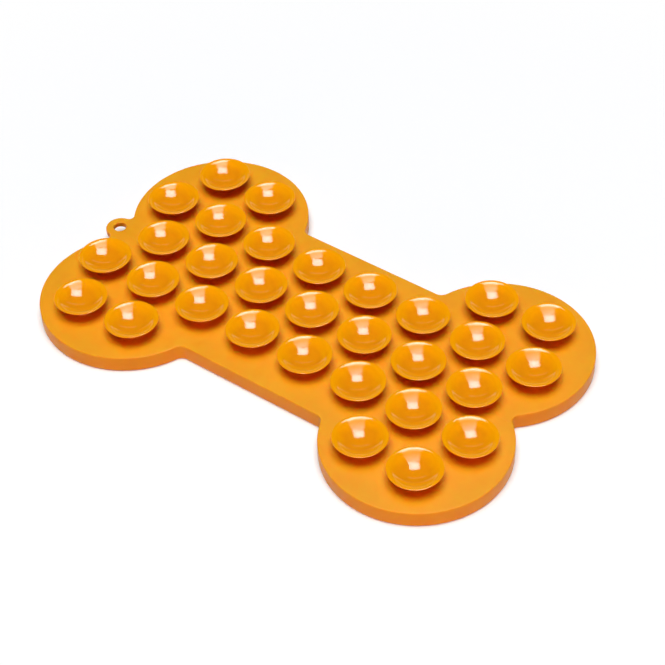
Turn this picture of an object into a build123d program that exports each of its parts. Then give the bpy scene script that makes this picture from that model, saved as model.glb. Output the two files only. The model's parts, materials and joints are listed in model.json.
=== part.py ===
from build123d import *
import os
from itertools import combinations
from math import asin, atan2, cos, degrees, hypot, radians, sin, sqrt

# Lick mat of moulded silicone, bone shaped, lying with its suction cups up and its lick face down.
# Millimetres. X runs along the bone, the hanging eye is at the -X end, and Z = 0 is what it lies on.

# Bone outline, seen from above: four round knobs joined by a straight shaft
KNOB_SPAN_X = 137.2  # knob centre to knob centre along the bone
KNOB_SPAN_Y = 57.6  # knob centre to knob centre across the bone
KNOB_RADIUS = 36.4
SHAFT_WIDTH = 80.0
WAIST_FILLET = 3.6  # where a knob runs into the shaft
NOTCH_FILLET = 3.0  # where two knobs meet at an end

# Tray: a thin back sheet on a wall that runs round the edge, open towards the lick side
MAT_THICKNESS = 7.0
BACK_THICKNESS = 2.2
WALL_THICKNESS = 4.0
EDGE_RADIUS = 0.8  # round on the upper edge
FOOT_RADIUS = 0.5  # round on both edges of the wall's foot

# Hanging eye in the notch at the -X end, as thick as the back sheet and level with it
EYE_RADIUS = 5.8
EYE_HOLE_DIAMETER = 5.1
EYE_STANDOFF = 6.7  # from the bottom of the notch to the middle of the hole
EYE_FILLET = 2.0  # saddle between the eye and each knob
EYE_SEAT_WIDTH = 12.4  # width of the seat that the eye's root fills in the back sheet

# Suction cups on the back sheet: three staggered rows, and one pair in the outer half of each knob
SIDE_ROW_CUPS = 8  # in each side row, and the centre row has one fewer
CUP_END_INSET = 17.5  # from an end of the bone to the middle of a side row's last cup
CUP_GAP = 2.9  # between the two closest lips, which sets how wide the cups are
CUP_HEIGHT = 6.2  # from the mat's back face to the lip
DISH_DEPTH = 3.6
LIP_WIDTH = 0.9  # flat ring that seals
LIP_EDGE = 0.5  # round on the outside of the lip
BELL_BOW = 0.35  # how far the bell's outside bows below a straight cone
NECK_DIAMETER = 9.0
NECK_HEIGHT = 1.4
NECK_FLARE = 0.6
PAIR_INSET = 20.2  # from a knob's outer side to the middle of its pair, across the bone
PAIR_IN = 1.6  # from a knob's centre to the middle of its pair, towards the waist
PAIR_TILT = 3.2  # degrees, with the outer cup further from the shaft

# Lick face: bars across the middle and nubs in the knobs, in shared rows along X
LICK_ROW_PITCH = 9.5
LICK_HEIGHT = 4.0
LICK_TIP_RADIUS = 1.0
LICK_EDGE_MARGIN = 1.5  # least distance to the wall
NUB_PITCH = 10.0
NUB_BASE_DIAMETER = 4.6
NUB_TIP_DIAMETER = 3.2
BAR_FIELD_LENGTH = 88.0
BAR_PITCH = 17.0
BAR_LENGTH = 12.0
BAR_WIDTH = 4.4
BAR_DRAFT = 6.0  # degrees

# Places that follow from the sizes above
KNOB_X = KNOB_SPAN_X / 2
KNOB_Y = KNOB_SPAN_Y / 2
HALF_SHAFT = SHAFT_WIDTH / 2
NOTCH_CENTRE_X = KNOB_X + sqrt((KNOB_RADIUS + NOTCH_FILLET) ** 2 - KNOB_Y**2)
NOTCH_X = NOTCH_CENTRE_X - NOTCH_FILLET
WAIST_RISE = HALF_SHAFT + WAIST_FILLET - KNOB_Y
WAIST_X = KNOB_X - sqrt((KNOB_RADIUS + WAIST_FILLET) ** 2 - WAIST_RISE**2)
EYE_X = -(NOTCH_X + EYE_STANDOFF)
ROOF_Z = MAT_THICKNESS - BACK_THICKNESS
CUP_PITCH = 2 * (KNOB_X + KNOB_RADIUS - CUP_END_INSET) / (SIDE_ROW_CUPS - 1)
CUP_ROW_SPACING = CUP_PITCH * sqrt(3) / 2


def arc_between(centre, radius, start, end):
    """Arc about a centre from one angle in degrees to another."""
    return CenterArc(centre, radius, start, end - start)


def knob_to_waist(inset):
    """Waist fillet and half of the shaft's edge, in the +X +Y quarter."""
    radius = WAIST_FILLET + inset
    corner = (WAIST_X, HALF_SHAFT + WAIST_FILLET)
    towards_knob = degrees(atan2(-WAIST_RISE, KNOB_X - WAIST_X))
    edge_y = HALF_SHAFT - inset
    fillet_arc = arc_between(corner, radius, towards_knob, -90)
    return [fillet_arc, Line((WAIST_X, edge_y), (0, edge_y))]


def knob_arc(inset, start):
    """Knob's edge in the +X +Y quarter, from an angle at the end to the waist fillet."""
    waist_angle = degrees(atan2(WAIST_RISE, WAIST_X - KNOB_X))
    return arc_between((KNOB_X, KNOB_Y), KNOB_RADIUS - inset, start, waist_angle)


def notched_end(inset):
    """The +Y half of a bone end with its plain notch."""
    notch_angle = degrees(atan2(-KNOB_Y, NOTCH_CENTRE_X - KNOB_X))
    notch = arc_between((NOTCH_CENTRE_X, 0), NOTCH_FILLET + inset, 180, 180 + notch_angle)
    return [notch, knob_arc(inset, notch_angle)] + knob_to_waist(inset)


def eyed_end():
    """The +Y half of a bone end whose notch is filled by the hanging eye, on the +X side."""
    reach = EYE_RADIUS + EYE_FILLET
    knob_reach = KNOB_RADIUS + EYE_FILLET
    knob_direction = atan2(KNOB_Y, KNOB_X + EYE_X)
    span = hypot(KNOB_X + EYE_X, KNOB_Y)
    along = (reach**2 - knob_reach**2 + span**2) / (2 * span)
    saddle_direction = knob_direction - atan2(sqrt(reach**2 - along**2), along)
    saddle = (-EYE_X + reach * cos(saddle_direction), reach * sin(saddle_direction))
    knob_angle = degrees(atan2(saddle[1] - KNOB_Y, saddle[0] - KNOB_X))
    eye_angle = degrees(saddle_direction)
    eye_arc = arc_between((-EYE_X, 0), EYE_RADIUS, 0, eye_angle)
    saddle_arc = arc_between(saddle, EYE_FILLET, eye_angle + 180, knob_angle + 180)
    return [eye_arc, saddle_arc, knob_arc(0, knob_angle)] + knob_to_waist(0)


def outline(right_end, left_end):
    """Closed face from two half ends, given on the +X +Y quarter."""
    upper = right_end + [mirror(edge, Plane.YZ) for edge in left_end]
    return make_face(upper + [mirror(edge, Plane.XZ) for edge in upper])


def bone(inset=0.0):
    """Plan of the bone without its eye, moved inwards by inset."""
    return outline(notched_end(inset), notched_end(inset))


def inside(x, y, margin):
    """Whether a point of the plan lies at least margin inside the bone."""
    in_shaft = abs(x) <= NOTCH_X - margin and abs(y) <= HALF_SHAFT - margin
    in_knob = hypot(abs(x) - KNOB_X, abs(y) - KNOB_Y) <= KNOB_RADIUS - margin
    return in_shaft or in_knob


def back_and_eye():
    """Back sheet with its rounded upper edge, and the hanging eye seated in it."""
    plan = outline(notched_end(0), eyed_end()) - Pos(EYE_X, 0) * Circle(EYE_HOLE_DIAMETER / 2)
    sheet = Pos(0, 0, ROOF_Z) * extrude(plan, BACK_THICKNESS)
    upper_face = sheet.faces().sort_by(Axis.Z)[-1]
    sheet = fillet(upper_face.outer_wire().edges(), EDGE_RADIUS)
    seat_length = 3 * EYE_RADIUS
    seat_align = (Align.MAX, Align.CENTER, Align.MIN)
    seat = Box(seat_length, EYE_SEAT_WIDTH, BACK_THICKNESS, align=seat_align)
    seat = Pos(EYE_X + EYE_RADIUS, 0, ROOF_Z) * seat
    return sheet - seat, sheet & seat


def edge_wall():
    """Wall round the lick face, with a rounded foot."""
    wall = extrude(bone() - bone(WALL_THICKNESS), ROOF_Z)
    foot = wall.faces().sort_by(Axis.Z)[0]
    return fillet(foot.edges(), FOOT_RADIUS)


def cup_row(count, y):
    """Centres of a row of cups, balanced about the middle of the bone."""
    return [((i - (count - 1) / 2) * CUP_PITCH, y) for i in range(count)]


def cup_places():
    """Centres of the cups, row by row from the +Y side."""
    half_x = CUP_PITCH / 2 * cos(radians(PAIR_TILT))
    half_y = CUP_PITCH / 2 * sin(radians(PAIR_TILT))
    pair_x = KNOB_X - PAIR_IN
    pair_y = KNOB_Y + KNOB_RADIUS - PAIR_INSET
    pair = [(pair_x - half_x, pair_y - half_y), (pair_x + half_x, pair_y + half_y)]
    pairs = [(-x, y) for x, y in reversed(pair)] + pair
    side_row = cup_row(SIDE_ROW_CUPS, CUP_ROW_SPACING)
    near_side = [(x, -y) for x, y in side_row + pairs]
    return pairs + side_row + cup_row(SIDE_ROW_CUPS - 1, 0) + near_side


def cup_diameter():
    """Width of a lip that leaves the least gap between the two closest cups."""
    return min(hypot(x - u, y - v) for (x, y), (u, v) in combinations(cup_places(), 2)) - CUP_GAP


def suction_cup():
    """One cup about the Z axis: a solid neck that opens into a thin bell with a flat lip."""
    rim = cup_diameter() / 2
    neck = NECK_DIAMETER / 2
    mouth = rim - LIP_EDGE - LIP_WIDTH
    floor = CUP_HEIGHT - DISH_DEPTH
    dish_radius = (mouth**2 + DISH_DEPTH**2) / (2 * DISH_DEPTH)
    half_angle = asin(mouth / dish_radius) / 2
    dish_rise = dish_radius * (1 - cos(half_angle))
    dish_middle = (dish_radius * sin(half_angle), floor + dish_rise)
    profile = [
        Line((0, 0), (neck + NECK_FLARE, 0)),
        arc_between((neck + NECK_FLARE, NECK_FLARE), NECK_FLARE, 270, 180),
        Line((neck, NECK_FLARE), (neck, NECK_HEIGHT)),
        SagittaArc((neck, NECK_HEIGHT), (rim, CUP_HEIGHT - LIP_EDGE), -BELL_BOW),
        arc_between((rim - LIP_EDGE, CUP_HEIGHT - LIP_EDGE), LIP_EDGE, 0, 90),
        Line((rim - LIP_EDGE, CUP_HEIGHT), (mouth, CUP_HEIGHT)),
        ThreePointArc((mouth, CUP_HEIGHT), dish_middle, (0, floor)),
        Line((0, floor), (0, 0)),
    ]
    return revolve(Plane.XZ * make_face(profile), Axis.Z)


def row_places(pitch, shift, limit):
    """Places along a row, a pitch apart and balanced about zero, up to a limit."""
    count = int(limit / pitch) + 1
    places = [(i + shift) * pitch for i in range(-count, count + 1)]
    return [x for x in places if abs(x) <= limit]


def nub():
    """One round nub about the Z axis, hanging from the back sheet."""
    align = (Align.CENTER, Align.CENTER, Align.MIN)
    blank = Cone(NUB_TIP_DIAMETER / 2, NUB_BASE_DIAMETER / 2, LICK_HEIGHT, align=align)
    tip = blank.edges().filter_by(GeomType.CIRCLE).sort_by(Axis.Z)[0]
    return Pos(0, 0, ROOF_Z - LICK_HEIGHT) * fillet(tip, LICK_TIP_RADIUS)


def bar():
    """One short bar along X, hanging from the back sheet."""
    root = Pos(0, 0, ROOF_Z) * SlotOverall(BAR_LENGTH, BAR_WIDTH)
    blank = extrude(root, LICK_HEIGHT, dir=(0, 0, -1), taper=BAR_DRAFT)
    tip = blank.faces().sort_by(Axis.Z)[0]
    return fillet(tip.edges(), LICK_TIP_RADIUS)


def lick_row_centres():
    """The Y of each row of the lick face."""
    return row_places(LICK_ROW_PITCH, 0, KNOB_Y + KNOB_RADIUS)


def lick_bars():
    """Bars across the middle of the lick face, staggered from row to row."""
    margin = WALL_THICKNESS + LICK_EDGE_MARGIN + BAR_WIDTH / 2
    limit = (BAR_FIELD_LENGTH - BAR_LENGTH) / 2
    one = bar()
    bars = []
    for row, y in enumerate(lick_row_centres()):
        for x in row_places(BAR_PITCH, 0.5 * (row % 2), limit):
            if abs(y) <= HALF_SHAFT - margin:
                bars.append(Pos(x, y) * one)
    return Compound(bars)


def lick_nubs(side):
    """Nubs of the two knobs at one end of the lick face, staggered from row to row."""
    margin = WALL_THICKNESS + LICK_EDGE_MARGIN + NUB_BASE_DIAMETER / 2
    least = (BAR_FIELD_LENGTH + NUB_BASE_DIAMETER) / 2
    one = nub()
    nubs = []
    for row, y in enumerate(lick_row_centres()):
        for x in row_places(NUB_PITCH, 0.5 * (row % 2), KNOB_X + KNOB_RADIUS):
            beside_bars = abs(y) <= HALF_SHAFT and abs(x) < least
            if x * side > 0 and not beside_bars and inside(x, y, margin):
                nubs.append(Pos(x, y) * one)
    return Compound(nubs)


def main():
    """Build every piece and write one file for each."""
    back_sheet, hanging_eye = back_and_eye()
    pieces = {
        "back_sheet": back_sheet,
        "hanging_eye": hanging_eye,
        "edge_wall": edge_wall(),
        "lick_bars": lick_bars(),
        "lick_nubs_eye_end": lick_nubs(-1),
        "lick_nubs_plain_end": lick_nubs(1),
    }
    cup = suction_cup()
    for number, (x, y) in enumerate(cup_places(), start=1):
        pieces[f"suction_cup_{number:02d}"] = Pos(x, y, MAT_THICKNESS) * cup
    os.makedirs("parts", exist_ok=True)
    for name, piece in pieces.items():
        export_step(piece, f"parts/{name}.step")


if __name__ == "__main__":
    main()
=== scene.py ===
"""Looks of a bone-shaped lick mat, one moulding of orange silicone that lies with its suction cups up.

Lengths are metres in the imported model's frame: X runs along the bone, with the hanging eye at its -X end.
"""

import json
import math
import random

import bmesh
import bpy
from bpy.props import FloatProperty, FloatVectorProperty, IntProperty, PointerProperty
from mathutils import Matrix, Vector
from mathutils.geometry import tessellate_polygon


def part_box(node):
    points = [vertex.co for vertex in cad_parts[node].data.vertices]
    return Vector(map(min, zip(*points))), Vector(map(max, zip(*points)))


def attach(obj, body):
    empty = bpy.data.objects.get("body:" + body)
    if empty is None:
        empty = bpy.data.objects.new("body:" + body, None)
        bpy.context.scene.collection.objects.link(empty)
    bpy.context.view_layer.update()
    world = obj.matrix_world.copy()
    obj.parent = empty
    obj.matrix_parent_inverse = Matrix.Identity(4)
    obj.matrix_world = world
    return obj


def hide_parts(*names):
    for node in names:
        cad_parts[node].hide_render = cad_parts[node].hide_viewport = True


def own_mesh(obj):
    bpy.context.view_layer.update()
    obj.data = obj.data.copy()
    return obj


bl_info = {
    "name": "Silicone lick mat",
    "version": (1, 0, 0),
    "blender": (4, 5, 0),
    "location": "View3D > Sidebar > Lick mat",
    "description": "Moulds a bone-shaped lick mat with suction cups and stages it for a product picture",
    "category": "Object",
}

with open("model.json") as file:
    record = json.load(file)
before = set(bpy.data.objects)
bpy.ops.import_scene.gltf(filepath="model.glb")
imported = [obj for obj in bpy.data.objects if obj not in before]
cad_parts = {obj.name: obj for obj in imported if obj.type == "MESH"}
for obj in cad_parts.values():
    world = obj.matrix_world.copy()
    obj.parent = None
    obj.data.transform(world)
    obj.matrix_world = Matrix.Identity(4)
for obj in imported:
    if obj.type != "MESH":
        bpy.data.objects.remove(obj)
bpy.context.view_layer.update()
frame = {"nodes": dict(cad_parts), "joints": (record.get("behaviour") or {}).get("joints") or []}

MAT_BODY = "mat"
SHELL_NODES = ("back_sheet", "edge_wall", "hanging_eye")
BAR_NODE = "lick_bars"
NUB_NODES = ("lick_nubs_eye_end", "lick_nubs_plain_end")
CUP_NODES = sorted(name for name in frame["nodes"] if name.startswith("suction_cup_"))
MAT_SLOT = "silicone_mat"
CUP_SLOT = "silicone_cup"

SHEET_LOW, SHEET_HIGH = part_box("back_sheet")
EYE_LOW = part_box("hanging_eye")[0]

# How finely curves are divided
CHORD = 0.0009
CHORD_ANGLE = math.radians(9)
ROUND_STEPS = 5
BELL_STEPS = 12
THROAT_STEPS = 6
THROAT_REACH = 2  # steps of the bell that the throat takes up
TURN_STEPS = 10
DISH_STEPS = 22
SHARP_ANGLE = math.radians(40)

# How meshes are put together and read
WELD = 1e-6
FILL_SCALE = 1000  # the fill drops points closer than 0.03, so it works in millimetres
SORT_DIGITS = 5
BAR_RATIO = 1.05  # a stub that is longer than this many widths is a bar

# How a soft lip strays
LIP_WAVES = (1, 2, 3, 5)  # waves round the lip
LEAST_WAVE = 0.3  # the smallest wave as a share of the largest
STRAY_POWER = 3  # how steeply the straying grows from the middle of the cup to its lip

# Where patterns start and end
NOISE_LOW, NOISE_HIGH = 0.3, 0.7  # nearly all values of a noise lie between these
FACING_UP = 0.3  # rise of the normal from which a surface counts as facing up
CLOUD_LOW, CLOUD_HIGH = 0.35, 0.65  # where the satin silicone is richest and plainest
OUTSIDE_STOP, PAINTED_SHADE_STOP, PAINTED_GLOW_STOP = 0.1, 0.4, 1.0  # places of the cup's colours on their ramp: outside, painted shade of the thick middle, painted glow of the thin lip


def length(name, description, default):
    """A size that a user can set."""
    return FloatProperty(
        name=name, description=description, default=default, min=0.0, unit="LENGTH", precision=5
    )


def colour(name, description, default):
    """A colour that a user can set."""
    return FloatVectorProperty(
        name=name, description=description, default=default, min=0.0, max=1.0, subtype="COLOR"
    )


def share(name, description, default):
    """A number from zero to one that a user can set."""
    return FloatProperty(
        name=name, description=description, default=default, min=0.0, max=1.0, subtype="FACTOR"
    )


def strength(name, description, default):
    """A number from zero up that a user can set."""
    return FloatProperty(name=name, description=description, default=default, min=0.0)


def tilt(name, description, degrees):
    """An angle that a user can set."""
    return FloatProperty(
        name=name, description=description, default=math.radians(degrees), subtype="ANGLE"
    )


def place(name, description, default):
    """A point that a user can set."""
    return FloatVectorProperty(
        name=name,
        description=description,
        default=default,
        subtype="TRANSLATION",
        unit="LENGTH",
        precision=5,
    )


class LickMatShell(bpy.types.PropertyGroup):
    """Sizes and finish of the bone-shaped shell with its hanging eye."""

    knob_span_x: length("Knob span along", "Knob centre to knob centre along the bone", 0.1372)
    knob_span_y: length("Knob span across", "Knob centre to knob centre across the bone", 0.0576)
    knob_radius: length("Knob radius", "Radius of each round knob", 0.0364)
    shaft_width: length("Shaft width", "Width of the straight shaft", 0.08)
    waist_fillet: length("Waist fillet", "Fillet where a knob runs into the shaft", 0.0036)
    notch_fillet: length("Notch fillet", "Fillet where two knobs meet at an end", 0.003)
    top: length("Back face height", "Height of the face that carries the cups", SHEET_HIGH.z)
    roof: length("Roof height", "Height of the lick face's roof", SHEET_LOW.z)
    wall: length("Wall thickness", "Thickness of the wall round the edge", 0.004)
    edge_round: length("Upper edge round", "Round on the upper edge", 0.0004)
    foot_round: length("Foot round", "Round on both edges of the wall's foot", 0.0009)
    roof_fillet: length("Roof fillet", "Fillet between the roof and the wall", 0.0008)
    eye_radius: length("Eye radius", "Outer radius of the hanging eye", 0.0058)
    eye_hole: length("Eye hole", "Diameter of the hole in the hanging eye", 0.0051)
    eye_fillet: length("Eye fillet", "Saddle between the eye and each knob", 0.002)
    hole_round: length("Hole round", "Round on both edges of the hole", 0.0003)
    tint: colour("Colour", "Orange of the satin silicone", (0.865, 0.39, 0.009))
    deep_tint: colour("Deep colour", "Orange where the silicone is a little richer", (0.845, 0.357, 0.0075))
    cloud_size: length("Cloud size", "Size of the patches of richer orange", 0.014)
    gloss: share("Specular level", "Strength of the satin sheen", 0.19)
    rough_low: share("Least roughness", "Roughness of the smoothest patches", 0.36)
    rough_high: share("Most roughness", "Roughness of the dullest patches", 0.46)
    rough_size: length("Roughness size", "Size of the smoother and duller patches", 0.004)
    grain_size: length("Grain size", "Size of the mould's blasted grain", 0.0004)
    grain_depth: length("Grain depth", "Depth of the mould's blasted grain", 0.00002)
    swell_size: length("Swell size", "Size of the faint swells of the surface", 0.006)
    swell_depth: length("Swell depth", "Depth of the faint swells of the surface", 0.00003)
    scatter: length("Scatter depth", "How far light spreads inside the silicone", 0.0012)
    scatter_share: share("Scatter share", "How much of the light spreads inside the silicone", 0.6)
    scatter_tint: colour("Scatter colour", "How far each colour of the light spreads", (1.0, 0.15, 0.05))


class LickMatCups(bpy.types.PropertyGroup):
    """Sizes and finish of the suction cups. Their places and outer sizes come from the frame."""

    dish_depth: length("Dish depth", "Depth of the hollow under the lip", 0.0032)
    lip_width: length("Lip width", "Width of the ring that seals", 0.0012)
    lip_edge: length("Lip edge", "Round on the outside of the lip", 0.0002)
    lip_blend: length("Lip blend", "Length of the soft turn from the lip into the dish", 0.0012)
    bell_bow: length("Bell bow", "How far the bell's outside bows below a straight cone", 0.00035)
    neck: length("Neck", "Diameter of the neck", 0.009)
    neck_height: length("Neck height", "Height at which the bell leaves the neck", 0.0014)
    neck_flare: length("Neck flare", "Fillet between the neck and the mat", 0.0006)
    wave: length("Lip wave", "How far a soft lip strays from a flat circle", 0.00009)
    seed: IntProperty(name="Seed", description="Start of the draws that make each lip differ", default=31)
    around: IntProperty(name="Facets", description="Facets round each cup", default=96, min=12)
    # Painted glow and shade: the pale lip colour stands in for light shining through the thin lip, the deep
    # colour for shade in the thick middle.
    tint: colour("Colour", "Amber of the thin lip", (0.99, 0.385, 0.001))
    deep_tint: colour("Deep colour", "Amber of the thick middle", (0.87, 0.3, 0.003))
    under_tint: colour("Outside colour", "Amber of the bell's outside", (0.99, 0.29, 0.002))
    cloud_size: length("Cloud size", "Size of the patches that change the colour", 0.006)
    cloud_spread: share("Cloud spread", "How far the patches shift the colour", 0.1)
    gloss: share("Specular level", "Strength of the gloss", 0.5)
    rough_low: share("Least roughness", "Roughness of the smoothest patches", 0.05)
    rough_high: share("Most roughness", "Roughness of the dullest patches", 0.08)
    rough_size: length("Roughness size", "Size of the smoother and duller patches", 0.003)
    drag_size: length("Drag size", "Size of the drag marks from the mould", 0.0035)
    drag_depth: length("Drag depth", "Depth of the drag marks from the mould", 0.00002)
    drag_twist: share("Drag twist", "How much the drag marks twist", 0.6)
    scatter: length("Scatter depth", "How far light spreads inside the silicone", 0.0004)
    scatter_share: share("Scatter share", "How much of the light spreads inside the silicone", 0.1)
    scatter_tint: colour("Scatter colour", "How far each colour of the light spreads", (1.0, 0.45, 0.18))


class LickMatLickFace(bpy.types.PropertyGroup):
    """Sizes of the bars and nubs on the lick face. Their places and outer sizes come from the frame."""

    tip_round: length("Tip round", "Round on the tip of each bar and nub", 0.001)
    root_fillet: length("Root fillet", "Fillet where a bar or nub leaves the roof", 0.0005)
    draft: tilt("Draft", "Slope of the sides", 8)


class LickMatStage(bpy.types.PropertyGroup):
    """Camera, lights and floor."""

    camera_place: place("Camera place", "Where the camera stands", (0.33095, -0.41773, 0.51516))
    camera_target: place("Camera target", "Point that the camera looks at", (0.01436, -0.00617, 0.01306))
    camera_roll: tilt("Camera roll", "Tilt of the horizon", -2.206)
    lens: FloatProperty(name="Lens", description="Focal length in mm", default=101.93, unit="CAMERA")

    box_near: place("Softbox near edge", "Middle of its edge above the mat", (0.0768, 0.0970, 1.5))
    box_far: place("Softbox far edge", "Middle of its edge behind the mat", (-0.3535, 0.5986, 1.5))
    box_width: length("Softbox width", "Size of the softbox across the view", 0.735)
    box_glow: strength("Softbox glow", "Radiance of the softbox's cloth", 8.2)
    box_tint: colour("Softbox colour", "Colour of the softbox's light", (1.0, 0.93, 1.0))
    bulb_way: share("Bulb way", "Where the bulb stands, from the near edge to the far edge", 0.45)
    bulb_spread: length("Bulb spread", "Radius of the bulb's bright patch on the cloth", 0.55)
    bulb_gain: strength("Bulb gain", "How much brighter the cloth is at the bulb", 1.9)

    sheet_near: place("Sheet near edge", "Middle of its edge by the camera", (0.3592, -0.2535, 0.52))
    sheet_far: place("Sheet far edge", "Middle of its edge by the softbox", (0.067, 0.052, 1.1))
    sheet_width: length("Sheet width", "Size of the white sheet across the view", 0.6)
    sheet_glow: strength("Sheet glow", "Radiance of the sheet's near edge", 0.56)
    sheet_gain: strength("Sheet gain", "How much brighter its far edge is", 12.0)

    ceiling_near: place("Ceiling near edge", "Middle of its edge behind the camera", (1.2414, -1.6945, 5.0))
    ceiling_far: place("Ceiling far edge", "Middle of its edge behind the mat", (-0.6496, 0.7619, 5.0))
    ceiling_width: length("Ceiling width", "Size of the ceiling panel across the view", 3.4)
    ceiling_glow: strength("Ceiling glow", "Radiance of the ceiling panel", 7.9)

    strip_low: place("Strip lower edge", "Middle of its lower edge behind the mat", (-0.854, 1.109, 0.84))
    strip_high: place("Strip upper edge", "Middle of its upper edge behind the mat", (-0.854, 1.109, 0.97))
    strip_width: length("Strip width", "Size of the strip across the view", 1.0)
    strip_glow: strength("Strip glow", "Radiance of the strip", 0.72)

    card_low: place("Card lower edge", "Middle of its lower edge, at the front", (0.6496, -0.7619, 0.02))
    card_high: place("Card upper edge", "Middle of its upper edge, at the front", (0.6496, -0.7619, 0.28))
    card_width: length("Card width", "Size of the card across the view", 2.6)
    card_glow: strength("Card glow", "Radiance of the card", 2.5)
    card_tint: colour("Card colour", "Colour of the card's light", (1.0, 0.5, 0.35))

    ambient: share("Studio light", "Grey level of the dark studio", 0.008)
    backdrop_rise: share("Backdrop rise", "Sine of the angle up to which the backdrop is white", 0.12)
    backdrop_top: share("Backdrop top", "Sine of the angle at which the backdrop has faded out", 0.18)
    floor_size: length("Floor size", "Side of the floor", 6.0)
    paper_glow: share("Paper glow", "Light that the paper adds to what falls on it", 0.155)
    paper_tint: colour("Paper colour", "Colour of the paper as seen", (0.88, 0.9, 0.92))
    bounce_tint: colour("Bounce colour", "Colour of the light that the paper returns", (0.82, 0.57, 0.5))
    fade_start: length("Fade start", "Distance at which the paper starts to fade to white", 0.15)
    fade_end: length("Fade end", "Distance from which the paper is white", 0.3)


def setting(name):
    """One of the property groups, held by the scene."""
    return getattr(bpy.context.scene, name)


def ray(angle):
    """Unit vector of the plan at an angle."""
    return Vector((math.cos(angle), math.sin(angle)))


def bearing(vector):
    """Angle of a vector of the plan."""
    return math.atan2(vector.y, vector.x)


def arc(centre, radius, start, end, hollow=False):
    """Points of an arc, each with its outward normal, which points at the centre on a hollow arc."""
    turn = end - start
    steps = max(math.ceil(abs(turn) * radius / CHORD), math.ceil(abs(turn) / CHORD_ANGLE), 2)
    rays = [ray(start + turn * step / steps) for step in range(steps + 1)]
    return [(centre + out * radius, -out if hollow else out) for out in rays]


def joined(*runs):
    """Runs that meet end to end, as one."""
    whole = list(runs[0])
    for run in runs[1:]:
        whole.extend(run[1:])
    return whole


def mirrored(run, x, y):
    """A run flipped across the axes whose sign is -1, still going counterclockwise."""
    flipped = [(Vector((p.x * x, p.y * y)), Vector((n.x * x, n.y * y))) for p, n in run]
    return flipped[::-1] if x * y < 0 else flipped


def knob_run(shell, start, end):
    """Edge of the knob in the +X +Y quarter between two angles."""
    return arc(knob_centre(shell), shell.knob_radius, start, end)


def knob_centre(shell):
    """Centre of the knob in the +X +Y quarter."""
    return Vector((shell.knob_span_x, shell.knob_span_y)) / 2


def waist_centre(shell):
    """Centre of the waist fillet in the +X +Y quarter."""
    knob = knob_centre(shell)
    y = shell.shaft_width / 2 + shell.waist_fillet
    reach = shell.knob_radius + shell.waist_fillet
    return Vector((knob.x - math.sqrt(reach**2 - (y - knob.y) ** 2), y))


def notch_centre(shell):
    """Centre of the notch fillet at the +X end."""
    knob = knob_centre(shell)
    reach = shell.knob_radius + shell.notch_fillet
    return Vector((knob.x + math.sqrt(reach**2 - knob.y**2), 0))


def eye_centre(shell):
    """Middle of the hanging eye's hole."""
    return Vector((EYE_LOW.x + shell.eye_radius, 0))


def saddle_centre(shell):
    """Centre of the saddle between the eye and a knob, mirrored to the +X +Y quarter."""
    eye = -eye_centre(shell)
    across = knob_centre(shell) - eye
    reach = shell.eye_radius + shell.eye_fillet
    knob_reach = shell.knob_radius + shell.eye_fillet
    along = (reach**2 - knob_reach**2 + across.length_squared) / (2 * across.length)
    return eye + ray(bearing(across) - math.acos(along / reach)) * reach


def shaft_run(shell, start):
    """The +X +Y quarter from an angle on the knob, over the waist, to the middle of the shaft."""
    knob = knob_centre(shell)
    waist = waist_centre(shell)
    edge = shell.shaft_width / 2
    waist_run = arc(waist, shell.waist_fillet, bearing(knob - waist), -math.pi / 2, hollow=True)
    outward = Vector((0, 1))
    edge_run = [(Vector((waist.x, edge)), outward), (Vector((0, edge)), outward)]
    return joined(knob_run(shell, start, bearing(waist - knob)), waist_run, edge_run)


def notch_run(shell, end):
    """The +X +Y quarter from the bottom of the notch to an angle on the knob."""
    knob = knob_centre(shell)
    notch = notch_centre(shell)
    turn = arc(notch, shell.notch_fillet, math.pi, bearing(knob - notch), hollow=True)
    return joined(turn, knob_run(shell, bearing(notch - knob), end))


def eye_run(shell):
    """Half of the eye's edge with its saddle, mirrored to the +X +Y quarter."""
    eye = -eye_centre(shell)
    saddle = saddle_centre(shell)
    tip = bearing(saddle - eye)
    side = bearing(knob_centre(shell) - saddle)
    eye_arc = arc(eye, shell.eye_radius, 0, tip)
    return joined(eye_arc, arc(saddle, shell.eye_fillet, tip + math.pi, side, hollow=True))


def quarter_rounding(radius):
    """Steps along a quarter round, as (way along its first leg, way along its second leg)."""
    angles = [math.pi / 2 * step / ROUND_STEPS for step in range(ROUND_STEPS + 1)]
    return [(radius * math.sin(angle), radius * (1 - math.cos(angle))) for angle in angles]


def curve_through(start, bend, end, steps):
    """Points of a quadratic curve that leaves start towards bend and arrives at end from bend."""
    points = []
    for step in range(steps + 1):
        t = step / steps
        points.append(start * (1 - t) ** 2 + bend * (2 * t * (1 - t)) + end * t**2)
    return points


def ring(bm, outline, inset, height):
    """Corners along a closed outline that is moved inwards by inset."""
    return [bm.verts.new((*(point - normal * inset), height)) for point, normal in outline]


def bridge(bm, first, second):
    """Faces between two rings of as many corners."""
    for i in range(len(first)):
        bm.faces.new((first[i - 1], first[i], second[i], second[i - 1]))


def stack(bm, outline, profile, first=None):
    """Rings along an outline for each (inset, height) of a profile, joined by faces. Returns the last."""
    lower = first
    for inset, height in profile:
        upper = ring(bm, outline, inset, height)
        if lower:
            bridge(bm, lower, upper)
        lower = upper
    return lower


def fill(bm, *loops):
    """Flat face inside a loop of corners. Further loops are holes in it."""
    corners = [corner for loop in loops for corner in loop]
    for triangle in tessellate_polygon([[corner.co * FILL_SCALE for corner in loop] for loop in loops]):
        bm.faces.new([corners[i] for i in triangle])


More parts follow.
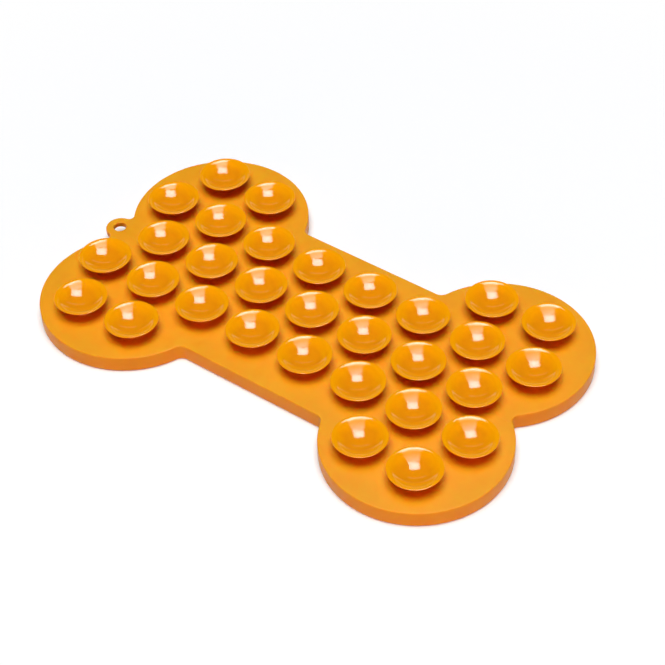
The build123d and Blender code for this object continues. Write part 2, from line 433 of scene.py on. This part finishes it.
def finished_piece(bm, name, material):
    """A mesh object with even normals, soft rounds and crisp corners."""
    bmesh.ops.recalc_face_normals(bm, faces=bm.faces)
    mesh = bpy.data.meshes.new(name)
    bm.to_mesh(mesh)
    bm.free()
    mesh.shade_smooth()
    mesh.set_sharp_from_angle(angle=SHARP_ANGLE)
    mesh.materials.append(material)
    piece = bpy.data.objects.new(name, mesh)
    bpy.context.scene.collection.objects.link(piece)
    return piece


def seat(piece, body, slot, *nodes):
    """Let a piece ride on a body and stand for CAD nodes."""
    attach(piece, body)
    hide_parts(*nodes)


def shell_profile(shell):
    """Section of the wall as (inset, height): from the roof down inside, under the foot and up outside."""
    foot = quarter_rounding(shell.foot_round)
    under_roof = quarter_rounding(shell.roof_fillet)
    inner = [(shell.wall + shell.roof_fillet - a, shell.roof - b) for a, b in under_roof]
    inner_foot = [(shell.wall - b, shell.foot_round - a) for a, b in foot]
    outer_foot = [(shell.foot_round - a, b) for a, b in foot]
    return inner + inner_foot + outer_foot + [(0, shell.roof)]


def eye_hole(bm, shell):
    """Wall of the eye's hole with rounded edges. Returns its lower and upper rings."""
    outline = arc(eye_centre(shell), shell.eye_hole / 2, 0, math.tau, hollow=True)[:-1]
    rounding = quarter_rounding(shell.hole_round)
    lower = ring(bm, outline, shell.hole_round, shell.roof)
    up = [(shell.hole_round - a, shell.roof + b) for a, b in rounding[1:]]
    out = [(b, shell.top - shell.hole_round + a) for a, b in rounding]
    return lower, stack(bm, outline, up + out, lower)


def shell_mesh(shell):
    """The whole shell: wall, roof, back face and hanging eye in one skin."""
    bm = bmesh.new()
    eye_angle = bearing(saddle_centre(shell) - knob_centre(shell))
    notch_angle = bearing(notch_centre(shell) - knob_centre(shell))
    left = shaft_run(shell, eye_angle)
    right = joined(notch_run(shell, notch_angle), shaft_run(shell, notch_angle))
    shared = joined(mirrored(left, -1, -1), mirrored(right, 1, -1), right, mirrored(left, -1, 1))
    under_eye = notch_run(shell, eye_angle)
    around_eye = eye_run(shell)
    notch = joined(mirrored(under_eye, -1, 1), mirrored(under_eye, -1, -1))[1:-1]
    eye = joined(mirrored(around_eye, -1, 1), mirrored(around_eye, -1, -1))[1:-1]

    roof_profile = shell_profile(shell)
    roof_ring = ring(bm, shared + notch, *roof_profile[0])
    wall_top = stack(bm, shared + notch, roof_profile[1:], roof_ring)
    fill(bm, roof_ring)

    eye_foot = ring(bm, eye, 0, shell.roof)
    sheet_foot = wall_top[: len(shared)] + eye_foot
    rounding = [(b, shell.top - shell.edge_round + a) for a, b in quarter_rounding(shell.edge_round)]
    flat_start = (shell.edge_round * 2, shell.top)
    back_ring = stack(bm, shared + eye, rounding + [flat_start], sheet_foot)
    hole_foot, hole_top = eye_hole(bm, shell)
    fill(bm, back_ring, hole_top)

    notch_foot = wall_top[len(shared) - 1 :] + wall_top[:1]
    fill(bm, notch_foot + eye_foot[::-1], hole_foot)
    return bm


def cup_profile(cups, rim, height):
    """Half section of a cup, from the middle of its foot to the middle of its dish, as (radius, height)."""
    neck = cups.neck / 2
    mouth = rim - cups.lip_edge - cups.lip_width
    dish = (mouth**2 + cups.dish_depth**2) / (2 * cups.dish_depth)
    mouth_angle = math.asin(mouth / dish)
    blend_angle = mouth_angle - cups.lip_blend / dish

    def dish_point(angle):
        rise = dish * (1 - math.cos(angle))
        return Vector((dish * math.sin(angle), height - cups.dish_depth + rise))

    flare = [(neck + cups.neck_flare - a, b) for a, b in quarter_rounding(cups.neck_flare)]
    bell_start = Vector((neck, cups.neck_height))
    bell_end = Vector((rim, height - cups.lip_edge))
    bell_way = bell_end - bell_start
    below = Vector((bell_way.y, -bell_way.x)).normalized()
    bell_bend = (bell_start + bell_end) / 2 + below * (2 * cups.bell_bow)
    bell = curve_through(bell_start, bell_bend, bell_end, BELL_STEPS)
    throat_start = Vector((neck, cups.neck_flare))
    throat = curve_through(throat_start, bell_start, bell[THROAT_REACH], THROAT_STEPS)
    lip = [(rim - b, height - cups.lip_edge + a) for a, b in quarter_rounding(cups.lip_edge)]
    turn_start = Vector((mouth + cups.lip_blend, height))
    turn = curve_through(turn_start, Vector((mouth, height)), dish_point(blend_angle), TURN_STEPS)
    bowl = [dish_point(blend_angle * (1 - step / DISH_STEPS)) for step in range(1, DISH_STEPS + 1)]
    points = [(0, 0)] + flare + throat[1:] + bell[THROAT_REACH + 1 :] + lip[1:] + turn + bowl
    return [Vector(point) for point in points]


def lathe(bm, profile, around, centre, stray=None):
    """Skin of revolution about an upright axis through centre, from pole to pole of the profile."""
    rings = []
    for point in profile[1:-1]:
        corners = []
        for i in range(around):
            angle = math.tau * i / around
            radius, rise = stray(angle, point) if stray else point
            corners.append(bm.verts.new(centre + Vector((*(ray(angle) * radius), rise))))
        rings.append(corners)
    for lower, upper in zip(rings, rings[1:]):
        bridge(bm, lower, upper)
    for pole, corners in ((profile[0], rings[0]), (profile[-1], rings[-1])):
        middle = bm.verts.new(centre + Vector((0, 0, pole.y)))
        for i in range(around):
            bm.faces.new((corners[i - 1], corners[i], middle))


def lip_stray(cups, rim, number):
    """How one cup's soft lip strays from a flat circle, as a function of angle and profile point."""
    draw = random.Random(cups.seed + number)
    waves = []
    for count in LIP_WAVES:
        phase = draw.uniform(0, math.tau)
        waves.append((count, phase, draw.uniform(LEAST_WAVE, 1.0) / count))

    def stray(angle, point):
        reach = (point.x / rim) ** STRAY_POWER * cups.wave
        lift = sum(size * math.sin(count * angle + phase) for count, phase, size in waves)
        spread = sum(size * math.cos(count * angle - phase) for count, phase, size in waves)
        foot = min(1.0, point.y / cups.neck_height)
        return point.x + reach * spread * foot, point.y + reach * lift * foot

    return stray


def cup_piece(node, number, material):
    """One suction cup in the place of its CAD node."""
    cups = setting("lick_mat_cups")
    low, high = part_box(node)
    rim = (high.x - low.x) / 2
    foot = Vector(((low.x + high.x) / 2, (low.y + high.y) / 2, low.z))
    bm = bmesh.new()
    lathe(bm, cup_profile(cups, rim, high.z - low.z), cups.around, foot, lip_stray(cups, rim, number))
    return finished_piece(bm, node.replace("suction", "silicone"), material)


def press_of(node):
    """The joint that presses a cup's node flat."""
    for joint in frame["joints"]:
        if any(entry["node"] == node for entry in joint["deforming_nodes"]):
            return joint
    raise RuntimeError(f"no joint presses {node}")


def solids_of(node):
    """Boxes of the separate solids in a CAD node, as (lowest, highest) corners, sorted by place."""
    bm = bmesh.new()
    bm.from_mesh(frame["nodes"][node].data)
    bmesh.ops.remove_doubles(bm, verts=bm.verts, dist=WELD)
    boxes = []
    for seed in bm.verts:
        if seed.tag:
            continue
        seed.tag = True
        solid = [seed]
        for corner in solid:
            for edge in corner.link_edges:
                other = edge.other_vert(corner)
                if not other.tag:
                    other.tag = True
                    solid.append(other)
        low = Vector([min(corner.co[axis] for corner in solid) for axis in range(3)])
        high = Vector([max(corner.co[axis] for corner in solid) for axis in range(3)])
        boxes.append((low, high))
    bm.free()
    return sorted(boxes, key=lambda box: (round(box[0].y, SORT_DIGITS), round(box[0].x, SORT_DIGITS)))


def stub_profile(face, height):
    """Side of a bar or nub as (inset, drop): from the edge of its root fillet to the flat of its tip."""
    slope = math.tan(face.draft)
    side_end = height - face.tip_round
    root = [(a - face.root_fillet, b) for a, b in quarter_rounding(face.root_fillet)]
    inset = side_end * slope
    tip = [(inset + b, side_end + a) for a, b in quarter_rounding(face.tip_round)]
    return root + tip


def slot_outline(low, high):
    """Edge of a bar with round ends that fills a box along X."""
    radius = (high.y - low.y) / 2
    middle = (low.y + high.y) / 2
    right = arc(Vector((high.x - radius, middle)), radius, -math.pi / 2, math.pi / 2)
    left = arc(Vector((low.x + radius, middle)), radius, math.pi / 2, 1.5 * math.pi)
    return right + left


def stub(bm, face, low, high):
    """One bar or nub that hangs from the roof inside a box."""
    width = high.y - low.y
    if high.x - low.x > BAR_RATIO * width:
        outline = slot_outline(low, high)
    else:
        outline = arc((low + high).xy / 2, width / 2, 0, math.tau)[:-1]
    profile = [(inset, high.z - drop) for inset, drop in stub_profile(face, high.z - low.z)]
    root = ring(bm, outline, *profile[0])
    tip = stack(bm, outline, profile[1:], root)
    fill(bm, root)
    fill(bm, tip)


def lick_piece(node, material):
    """All bars or nubs of one CAD node as one piece."""
    bm = bmesh.new()
    for low, high in solids_of(node):
        stub(bm, setting("lick_mat_lick_face"), low, high)
    return finished_piece(bm, node.replace("lick", "silicone"), material)


def feed(tree, socket, value):
    """Give a socket a value, or a link from another socket."""
    if isinstance(value, bpy.types.NodeSocket):
        tree.links.new(value, socket)
    else:
        socket.default_value = value


def shader_node(tree, kind, *inputs, **named):
    """A node whose inputs get values or links, in their order or by name with _ for a space."""
    made = tree.nodes.new("ShaderNode" + kind)
    for socket, value in zip(made.inputs, inputs):
        feed(tree, socket, value)
    for name, value in named.items():
        feed(tree, made.inputs[name.replace("_", " ")], value)
    return made


def maths(tree, operation, first, second):
    """Two values put together by an operation."""
    made = shader_node(tree, "Math", first, second)
    made.operation = operation
    return made.outputs[0]


class Finish:
    """A node material that is built up step by step."""

    def __init__(self, name):
        self.material = bpy.data.materials.new(name)
        self.material.use_nodes = True
        self.tree = self.material.node_tree
        self.surface = self.tree.nodes["Principled BSDF"]
        self.place = self.node("TexCoord").outputs["Object"]

    def node(self, kind, *inputs, **named):
        """A node of this material."""
        return shader_node(self.tree, kind, *inputs, **named)

    def noise(self, size, detail=2.0, distortion=0.0):
        """Cloudy pattern whose lumps are about size across."""
        made = self.node(
            "TexNoise", Vector=self.place, Scale=1 / size, Detail=detail, Distortion=distortion
        )
        return made.outputs["Fac"]

    def between(self, pattern, low, high):
        """A pattern spread from a low to a high value."""
        made = self.node(
            "MapRange", pattern, From_Min=NOISE_LOW, From_Max=NOISE_HIGH, To_Min=low, To_Max=high
        )
        return made.outputs["Result"]

    def rise(self, low, high, pattern, spread):
        """Zero at a low height and one at a high one, give or take a pattern that strays by spread."""
        height = self.node("SeparateXYZ", self.place).outputs["Z"]
        way = self.node("MapRange", height, From_Min=low, From_Max=high).outputs["Result"]
        return maths(self.tree, "ADD", way, self.between(pattern, -spread, spread))

    def facing_up(self):
        """One where the surface faces up, and zero where it faces down."""
        normal = self.node("TexCoord").outputs["Normal"]
        lift = self.node("SeparateXYZ", normal).outputs["Z"]
        return self.node("MapRange", lift, From_Min=0.0, From_Max=FACING_UP).outputs["Result"]

    def blend(self, pattern, *stops):
        """Colours spread over a pattern, each at its own value of it."""
        ramp = self.node("ValToRGB", pattern)
        elements = ramp.color_ramp.elements
        while len(elements) < len(stops):
            elements.new(1.0)
        for element, (value, tint) in zip(elements, stops):
            element.position = value
            element.color = (*tint, 1)
        return ramp.outputs["Color"]

    def relief(self, pattern, depth, under=None):
        """Bumps of a given depth, on top of others."""
        made = self.node("Bump", Height=pattern, Distance=depth, Strength=1.0)
        if under:
            feed(self.tree, made.inputs["Normal"], under)
        return made.outputs["Normal"]

    def set(self, **values):
        """Values or links for the surface."""
        for name, value in values.items():
            feed(self.tree, self.surface.inputs[name.replace("_", " ")], value)


def satin_silicone(shell):
    """Moulded silicone with a fine blasted grain and a soft sheen."""
    finish = Finish("satin_silicone")
    clouds = finish.noise(shell.cloud_size, detail=4)
    patches = finish.noise(shell.rough_size, detail=3)
    grain = finish.relief(finish.noise(shell.grain_size, detail=3), shell.grain_depth)
    swells = finish.noise(shell.swell_size, detail=2)
    finish.set(
        Base_Color=finish.blend(clouds, (CLOUD_LOW, shell.deep_tint), (CLOUD_HIGH, shell.tint)),
        Roughness=finish.between(patches, shell.rough_low, shell.rough_high),
        Normal=finish.relief(swells, shell.swell_depth, grain),
        Specular_IOR_Level=shell.gloss,
        Subsurface_Weight=shell.scatter_share,
        Subsurface_Radius=shell.scatter_tint,
        Subsurface_Scale=shell.scatter,
    )
    return finish.material


def glossy_silicone(cups):
    """Polished silicone of the cups with faint drag marks from the mould. Its amber is painted glow and
    shade: paler towards the thin lip, as if light shone through it, and deeper in the thick middle of the
    dish.
    """
    finish = Finish("glossy_silicone")
    drag = finish.noise(cups.drag_size, detail=3, distortion=cups.drag_twist)
    patches = finish.noise(cups.rough_size, detail=4)
    clouds = finish.noise(cups.cloud_size, detail=3)
    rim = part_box(CUP_NODES[0])[1].z
    # Painted glow and shade: the dish colour runs by height from deep amber low in the middle to pale amber
    # at the lip, only where the surface faces up.
    thin = finish.rise(rim - cups.dish_depth, rim, clouds, cups.cloud_spread)
    dish = finish.between(thin, PAINTED_SHADE_STOP, PAINTED_GLOW_STOP)
    inside = maths(finish.tree, "MULTIPLY", dish, finish.facing_up())
    finish.set(
        Base_Color=finish.blend(
            inside, (OUTSIDE_STOP, cups.under_tint), (PAINTED_SHADE_STOP, cups.deep_tint), (PAINTED_GLOW_STOP, cups.tint)
        ),
        Roughness=finish.between(patches, cups.rough_low, cups.rough_high),
        Normal=finish.relief(drag, cups.drag_depth),
        Specular_IOR_Level=cups.gloss,
        Subsurface_Weight=cups.scatter_share,
        Subsurface_Radius=cups.scatter_tint,
        Subsurface_Scale=cups.scatter,
    )
    return finish.material


def shown_rays(tree):
    """One for rays from the camera, off a gloss or through glass, and zero for the rest."""
    path = shader_node(tree, "LightPath").outputs
    shown = path["Is Camera Ray"]
    for name in ("Is Glossy Ray", "Is Transmission Ray"):
        shown = maths(tree, "MAXIMUM", shown, path[name])
    return shown


def floor_paper(stage):
    """White paper that takes the mat's shadow and fades into the white of the backdrop further out."""
    material = bpy.data.materials.new("floor_paper")
    material.use_nodes = True
    tree = material.node_tree
    tree.nodes.remove(tree.nodes["Principled BSDF"])
    glow = shader_node(tree, "Emission", Strength=stage.paper_glow).outputs[0]
    shade = shader_node(tree, "BsdfDiffuse", Color=(*stage.paper_tint, 1)).outputs[0]
    lit = shader_node(tree, "AddShader", glow, shade).outputs[0]
    white = shader_node(tree, "Emission").outputs[0]
    spot = shader_node(tree, "NewGeometry").outputs["Position"]
    distance = shader_node(tree, "VectorMath", spot)
    distance.operation = "LENGTH"
    fade = shader_node(
        tree, "MapRange", distance.outputs["Value"], From_Min=stage.fade_start, From_Max=stage.fade_end
    )
    fade.interpolation_type = "SMOOTHSTEP"
    paper = shader_node(tree, "MixShader", fade.outputs["Result"], lit, white).outputs[0]
    bounce = shader_node(tree, "BsdfDiffuse", Color=(*stage.bounce_tint, 1)).outputs[0]
    mix = shader_node(tree, "MixShader", shown_rays(tree), bounce, paper).outputs[0]
    feed(tree, tree.nodes["Material Output"].inputs["Surface"], mix)
    return material


def studio_world(stage):
    """A dark studio with a low white backdrop round the floor. The camera sees white above it too."""
    world = bpy.data.worlds.new("studio")
    world.use_nodes = True
    tree = world.node_tree
    studio = tree.nodes["Background"]
    studio.inputs["Color"].default_value = (stage.ambient, stage.ambient, stage.ambient, 1)
    white = shader_node(tree, "Background", Color=(1, 1, 1, 1)).outputs[0]
    way = shader_node(tree, "TexCoord").outputs["Generated"]
    height = shader_node(tree, "SeparateXYZ", way).outputs["Z"]
    backdrop = shader_node(
        tree, "MapRange", height, From_Min=stage.backdrop_top, From_Max=stage.backdrop_rise
    )
    low = maths(tree, "MULTIPLY", backdrop.outputs["Result"], shown_rays(tree))
    camera = shader_node(tree, "LightPath").outputs["Is Camera Ray"]
    shown = maths(tree, "MAXIMUM", low, camera)
    mix = shader_node(tree, "MixShader", shown, studio.outputs[0], white).outputs[0]
    feed(tree, tree.nodes["World Output"].inputs["Surface"], mix)
    return world


def panel_light(name, near, far, width, glow, tint=(1, 1, 1)):
    """A lamp panel between the middles of two edges that faces the mat."""
    along = (far - near).normalized()
    across = along.cross((near + far) / 2).normalized()
    lamp = bpy.data.lights.new(name, "AREA")
    lamp.shape = "RECTANGLE"
    lamp.size = width
    lamp.size_y = (far - near).length
    lamp.energy = glow * math.pi * lamp.size * lamp.size_y
    lamp.color = tint
    light = bpy.data.objects.new(name, lamp)
    turn = Matrix((across, along, across.cross(along))).transposed().to_4x4()
    light.matrix_world = Matrix.Translation((near + far) / 2) @ turn
    bpy.context.scene.collection.objects.link(light)
    return light


def brighten(lamp, middle, spread, gain):
    """Let a lamp panel glow gain times as much at a point, fading to its own glow at some distance."""
    lamp.use_nodes = True
    tree = lamp.node_tree
    cloth = shader_node(tree, "NewGeometry").outputs["Position"]
    distance = shader_node(tree, "VectorMath", cloth, middle)
    distance.operation = "DISTANCE"
    fade = shader_node(
        tree, "MapRange", distance.outputs["Value"], From_Max=spread, To_Min=gain, To_Max=1
    )
    fade.interpolation_type = "SMOOTHSTEP"
    feed(tree, tree.nodes["Emission"].inputs["Strength"], fade.outputs["Result"])


def gloss_panels(stage):
    """A softbox, brightest at its bulb, and a white sheet that it lights, which only gloss shows."""
    near = Vector(stage.box_near)
    far = Vector(stage.box_far)
    cloth = panel_light("softbox", near, far, stage.box_width, stage.box_glow, stage.box_tint)
    cloth.visible_diffuse = False
    brighten(cloth.data, near.lerp(far, stage.bulb_way), stage.bulb_spread, stage.bulb_gain)
    low = Vector(stage.sheet_near)
    high = Vector(stage.sheet_far)
    sheet = panel_light("sheet", low, high, stage.sheet_width, stage.sheet_glow)
    sheet.visible_diffuse = False
    brighten(sheet.data, high, (high - low).length, stage.sheet_gain)


def fill_panels(stage):
    """A warm card low in front of the mat and a faint strip behind it."""
    low = Vector(stage.card_low)
    high = Vector(stage.card_high)
    panel_light("card", low, high, stage.card_width, stage.card_glow, stage.card_tint)
    low = Vector(stage.strip_low)
    high = Vector(stage.strip_high)
    panel_light("strip", low, high, stage.strip_width, stage.strip_glow)


def ceiling_light(stage):
    """The main light, a wide ceiling panel that shows in no gloss."""
    near = Vector(stage.ceiling_near)
    far = Vector(stage.ceiling_far)
    ceiling = panel_light("ceiling", near, far, stage.ceiling_width, stage.ceiling_glow)
    ceiling.visible_glossy = False


def photo_camera(stage):
    """Camera at the picture's viewing angle."""
    lens = bpy.data.cameras.new("camera")
    lens.lens = stage.lens
    camera = bpy.data.objects.new("camera", lens)
    looks = Vector(stage.camera_target) - Vector(stage.camera_place)
    aim = looks.to_track_quat("-Z", "Y").to_matrix().to_4x4()
    roll = Matrix.Rotation(stage.camera_roll, 4, "Z")
    camera.matrix_world = Matrix.Translation(stage.camera_place) @ aim @ roll
    bpy.context.scene.collection.objects.link(camera)
    bpy.context.scene.camera = camera


def white_floor(stage):
    """Plain floor under the mat."""
    bm = bmesh.new()
    bmesh.ops.create_grid(bm, x_segments=1, y_segments=1, size=stage.floor_size / 2)
    mesh = bpy.data.meshes.new("floor")
    bm.to_mesh(mesh)
    bm.free()
    mesh.materials.append(floor_paper(stage))
    floor = bpy.data.objects.new("floor", mesh)
    bpy.context.scene.collection.objects.link(floor)


class LICK_MAT_OT_mould_shell(bpy.types.Operator):
    """Mould the bone-shaped shell with its hanging eye in one skin"""

    bl_idname = "lick_mat.mould_shell"
    bl_label = "Mould shell"

    def execute(self, context):
        shell = setting("lick_mat_shell")
        piece = finished_piece(shell_mesh(shell), "silicone_shell", satin_silicone(shell))
        seat(piece, MAT_BODY, MAT_SLOT, *SHELL_NODES)
        return {"FINISHED"}


class LICK_MAT_OT_mould_cups(bpy.types.Operator):
    """Mould a suction cup in the place of each cup of the frame"""

    bl_idname = "lick_mat.mould_cups"
    bl_label = "Mould suction cups"

    def execute(self, context):
        material = glossy_silicone(setting("lick_mat_cups"))
        for number, node in enumerate(CUP_NODES, start=1):
            piece = cup_piece(node, number, material)
            joint = press_of(node)
            seat(piece, joint["child"], CUP_SLOT, node)
            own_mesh(piece)
        return {"FINISHED"}


class LICK_MAT_OT_mould_lick_face(bpy.types.Operator):
    """Mould the bars and nubs of the lick face"""

    bl_idname = "lick_mat.mould_lick_face"
    bl_label = "Mould lick face"

    def execute(self, context):
        material = bpy.data.materials["satin_silicone"]
        for node in (BAR_NODE, *NUB_NODES):
            seat(lick_piece(node, material), MAT_BODY, MAT_SLOT, node)
        return {"FINISHED"}


class LICK_MAT_OT_set_stage(bpy.types.Operator):
    """Set the floor, the camera, the lamp panels and the studio"""

    bl_idname = "lick_mat.set_stage"
    bl_label = "Set stage"

    def execute(self, context):
        stage = setting("lick_mat_stage")
        white_floor(stage)
        photo_camera(stage)
        gloss_panels(stage)
        fill_panels(stage)
        ceiling_light(stage)
        context.scene.world = studio_world(stage)
        context.scene.view_settings.view_transform = "Standard"
        return {"FINISHED"}


class VIEW3D_PT_lick_mat(bpy.types.Panel):
    """Steps that mould and stage the mat, with their settings"""

    bl_label = "Lick mat"
    bl_space_type = "VIEW_3D"
    bl_region_type = "UI"
    bl_category = "Lick mat"

    def draw(self, context):
        for operator, name in STEPS:
            column = self.layout.box().column()
            column.operator(operator.bl_idname)
            group = getattr(context.scene, name)
            for key in group.bl_rna.properties.keys():
                if key not in ("name", "rna_type"):
                    column.prop(group, key)


SETTINGS = {
    "lick_mat_shell": LickMatShell,
    "lick_mat_cups": LickMatCups,
    "lick_mat_lick_face": LickMatLickFace,
    "lick_mat_stage": LickMatStage,
}
STEPS = (
    (LICK_MAT_OT_mould_shell, "lick_mat_shell"),
    (LICK_MAT_OT_mould_cups, "lick_mat_cups"),
    (LICK_MAT_OT_mould_lick_face, "lick_mat_lick_face"),
    (LICK_MAT_OT_set_stage, "lick_mat_stage"),
)
CLASSES = (*SETTINGS.values(), *(operator for operator, name in STEPS), VIEW3D_PT_lick_mat)


def register():
    """Add the settings, the operators and the panel."""
    for kind in CLASSES:
        bpy.utils.register_class(kind)
    for name, group in SETTINGS.items():
        setattr(bpy.types.Scene, name, PointerProperty(type=group))


def unregister():
    """Take them away again."""
    for name in SETTINGS:
        delattr(bpy.types.Scene, name)
    for kind in reversed(CLASSES):
        bpy.utils.unregister_class(kind)


def main():
    """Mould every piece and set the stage."""
    register()
    bpy.ops.lick_mat.mould_shell()
    bpy.ops.lick_mat.mould_cups()
    bpy.ops.lick_mat.mould_lick_face()
    bpy.ops.lick_mat.set_stage()


if __name__ == "__main__":
    main()
